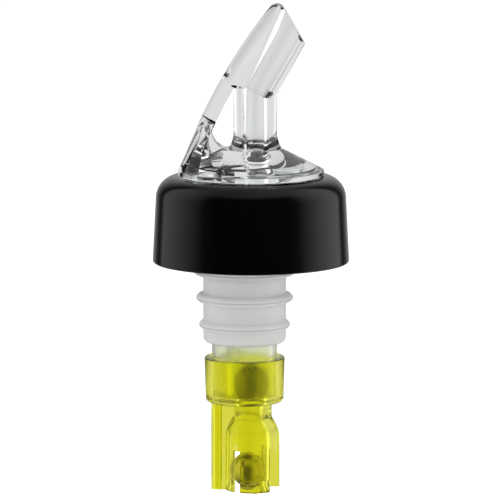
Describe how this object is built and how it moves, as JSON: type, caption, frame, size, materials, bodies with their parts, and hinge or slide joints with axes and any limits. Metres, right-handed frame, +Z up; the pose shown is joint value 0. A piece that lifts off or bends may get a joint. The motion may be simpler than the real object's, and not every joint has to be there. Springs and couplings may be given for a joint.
{
  "type": "measured liquor pourer",
  "caption": "Bottle pourer with a clear bent spout and breather fin, a loose black collar, a ribbed cork and a yellow measuring tail holding steel balls.",
  "frame": {"origin": "on the stem tube's axis, at the middle of the cork's main rib, which grips the bottle's neck", "axes": "+Z up along the stem, +X towards the pouring tip, +Y to the side away from the camera"},
  "size_m": [0.0434, 0.0434, 0.1078],
  "materials": {
    "clear_spout": "polished clear moulding",
    "collar_black": "gloss black moulding",
    "cork_grey": "soft translucent sleeve, satin",
    "stem_natural": "natural translucent moulding",
    "tail_yellow": "translucent yellow moulding",
    "ball_steel": "polished steel ball"
  },
  "bodies": {
    "pourer": {"spout": "clear_spout", "cork_sleeve": "cork_grey", "stem_tube": "stem_natural", "measuring_tail": "tail_yellow"},
    "collar": {"collar": "collar_black"},
    "upper_ball": {"upper_ball": "ball_steel"},
    "lower_ball": {"lower_ball": "ball_steel"}
  },
  "joints": [
    {"name": "collar_spin", "type": "hinge", "parent": "pourer", "child": "collar", "pos_m": [0.0014, 0, 0.026], "axis": [0, 0, 1], "continuous": true},
    {"name": "upper_ball_lift", "type": "slide", "parent": "pourer", "child": "upper_ball", "axis": [0, 0, 1], "range_m": [0, 0.006]},
    {"name": "lower_ball_lift", "type": "slide", "parent": "pourer", "child": "lower_ball", "axis": [0, 0, 1], "range_m": [0, 0.0082]}
  ]
}
